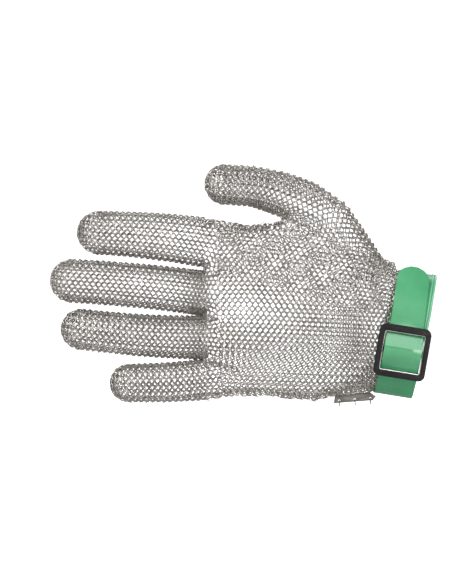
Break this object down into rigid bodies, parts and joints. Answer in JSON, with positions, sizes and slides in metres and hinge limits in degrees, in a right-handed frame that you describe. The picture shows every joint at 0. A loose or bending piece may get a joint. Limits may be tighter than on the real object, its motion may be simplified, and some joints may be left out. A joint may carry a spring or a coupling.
{
  "type": "chainmail glove",
  "caption": "Left-hand glove of woven steel rings with hollow fingers, held at the wrist by a plastic strap with a square slide buckle.",
  "frame": {"origin": "on the forearm's axis, at the middle of the strap's width, which is the wrist mount", "axes": "+X from the fingertips to the forearm, +Z to the thumb side, and -Y out of the back of the hand; the forearm's axis leans 9.2 degrees from +X towards -Z"},
  "size_m": [0.2116, 0.0588, 0.1332],
  "materials": {
    "ring_steel": "bright, lightly worn",
    "strap_plastic": "smooth, slightly glossy",
    "buckle_enamel": "matt, finely grained",
    "strip_steel": "satin"
  },
  "bodies": {
    "root": {"mail_little_finger": "ring_steel", "mail_ring_finger": "ring_steel", "mail_middle_finger": "ring_steel", "mail_index_finger": "ring_steel", "mail_thumb": "ring_steel", "mail_hand": "ring_steel", "wrist_strap": "strap_plastic", "slide_buckle": "buckle_enamel", "edge_strip": "strip_steel", "strip_ring_1": "ring_steel", "strip_ring_2": "ring_steel", "strip_ring_3": "ring_steel"}
  },
  "joints": []
}
